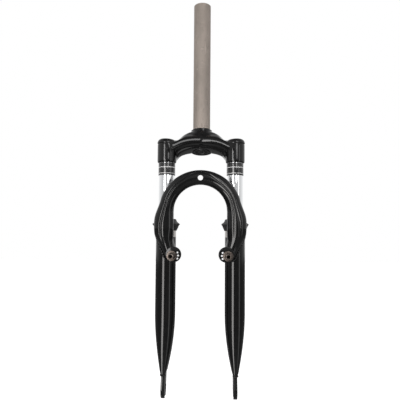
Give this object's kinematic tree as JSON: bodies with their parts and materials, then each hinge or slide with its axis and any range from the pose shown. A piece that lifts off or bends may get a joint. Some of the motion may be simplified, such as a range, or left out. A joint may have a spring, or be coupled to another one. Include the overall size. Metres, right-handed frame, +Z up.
{
  "type": "suspension fork",
  "caption": "Bicycle suspension fork with plain steerer, black crown, chrome stanchions, horseshoe brake arch with pivot studs and tapered steel lower legs that slide on coil springs.",
  "frame": {"origin": "on the steering axis, level with the top edge of the crown race seat", "axes": "+Z up along the steerer, front of the fork towards -Y, +X to the right as seen from the front"},
  "size_m": [0.154, 0.0986, 0.6392],
  "materials": {
    "bare_steel": "bare mottled steel",
    "black_paint": "gloss black paint",
    "chrome": "polished hard chrome",
    "cap_plastic": "gloss black moulded",
    "black_plastic": "satin black",
    "nylon": "natural nylon",
    "rubber": "matt black rubber",
    "boss_steel": "bare turned steel",
    "spring_steel": "oiled spring steel"
  },
  "bodies": {
    "upper": {"steerer_tube": "bare_steel", "steerer_bottom_plug": "black_plastic", "crown": "black_paint", "crown_cap_left": "cap_plastic", "crown_cap_right": "cap_plastic", "label_band_left": "black_plastic", "label_band_right": "black_plastic", "stanchion_left": "chrome", "stanchion_right": "chrome", "preload_spacer_left": "nylon", "preload_spacer_right": "nylon", "coil_spring_left": "spring_steel", "coil_spring_right": "spring_steel", "slider_bushing_left": "nylon", "slider_bushing_right": "nylon", "stanchion_clip_left": "spring_steel", "stanchion_clip_right": "spring_steel", "top_out_bumper_left": "rubber", "top_out_bumper_right": "rubber", "top_out_spacer_left": "black_plastic", "top_out_spacer_right": "black_plastic"},
    "lowers": {"brake_arch": "black_paint", "lower_tube_left": "black_paint", "lower_tube_right": "black_paint", "dropout_left": "black_paint", "dropout_right": "black_paint", "dust_seal_left": "rubber", "dust_seal_right": "rubber", "guide_bushing_left": "nylon", "guide_bushing_right": "nylon", "bushing_clip_left": "spring_steel", "bushing_clip_right": "spring_steel", "compression_rod_left": "nylon", "compression_rod_right": "nylon", "rod_base_left": "black_plastic", "rod_base_right": "black_plastic", "bottom_out_bumper_left": "rubber", "bottom_out_bumper_right": "rubber", "brake_boss_left": "boss_steel", "brake_boss_right": "boss_steel", "anchor_plate_left": "black_paint", "anchor_plate_right": "black_paint"}
  },
  "joints": [
    {"name": "fork_travel", "type": "slide", "parent": "upper", "child": "lowers", "axis": [0, 0, 1], "range_m": [0, 0.05], "stiffness_N_per_m": 8000, "springref_m": -0.01, "deforming": ["coil_spring_left", "coil_spring_right"]}
  ]
}
